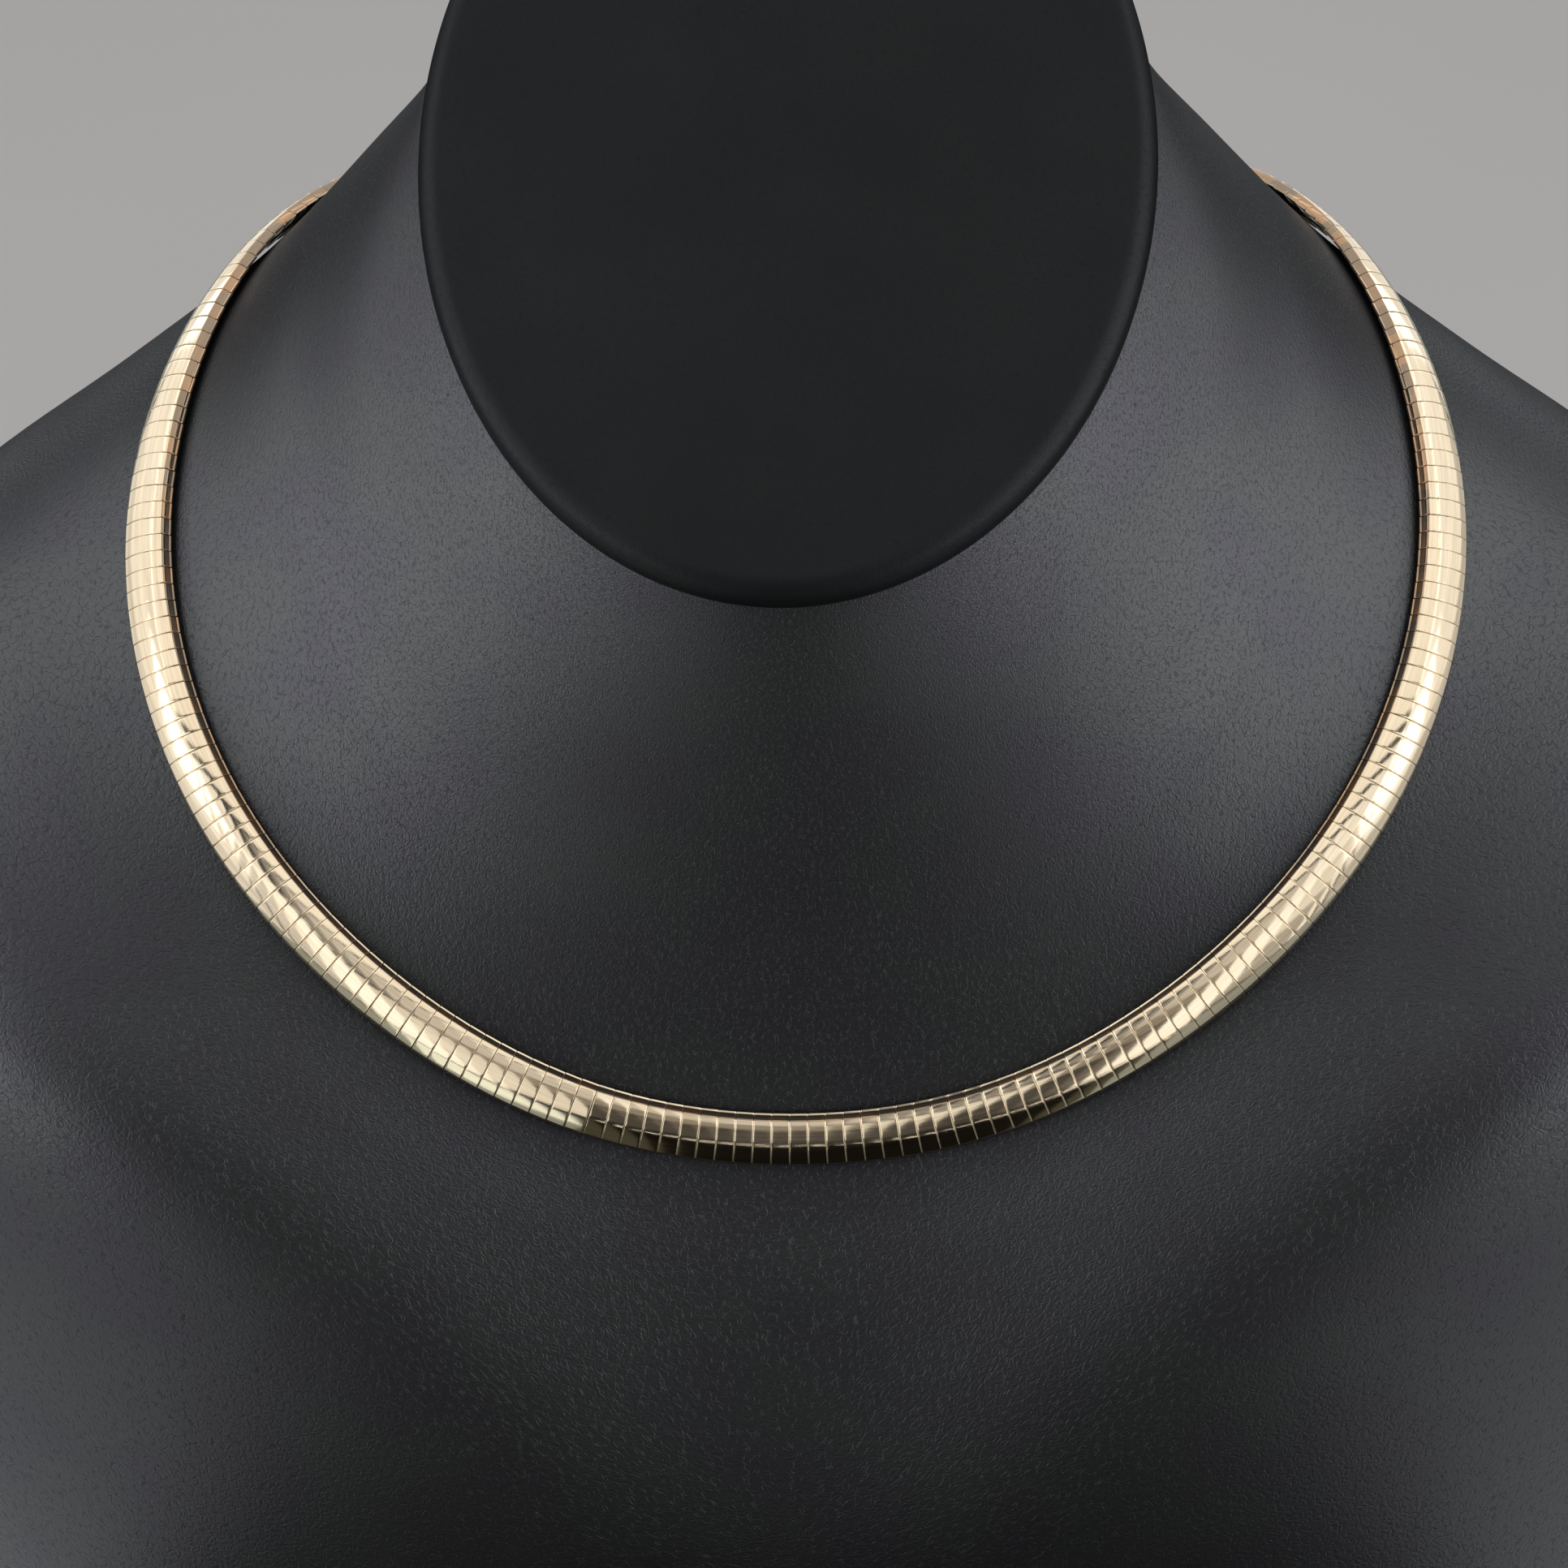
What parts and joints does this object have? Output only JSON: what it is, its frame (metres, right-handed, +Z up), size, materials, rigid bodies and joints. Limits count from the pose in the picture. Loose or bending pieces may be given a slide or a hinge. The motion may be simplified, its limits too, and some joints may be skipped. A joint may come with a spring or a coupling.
{
  "type": "omega necklace on a neck bust",
  "caption": "Omega necklace of domed gold plates threaded on a flat core, closed by a box clasp, lying round the neck of a plain leatherette display bust.",
  "frame": {"origin": "middle of the flat base of the bust, on the surface that it stands on", "axes": "+Z up, -Y to the front where the chest faces, +X to the right as seen from the front"},
  "size_m": [0.236, 0.144, 0.2297],
  "materials": {
    "polished_gold": "polished champagne gold with fine hairline scratches",
    "woven_gold": "fine woven gold, satin",
    "clasp_gold": "polished champagne gold",
    "leatherette": "black pebble-grained leatherette, semi-gloss",
    "pad_leatherette": "black smooth-grained leatherette over padding"
  },
  "bodies": {
    "root": {"plates": "polished_gold", "core_strip": "woven_gold", "clasp": "clasp_gold", "bust_form": "leatherette", "neck_cap": "pad_leatherette"}
  },
  "joints": []
}
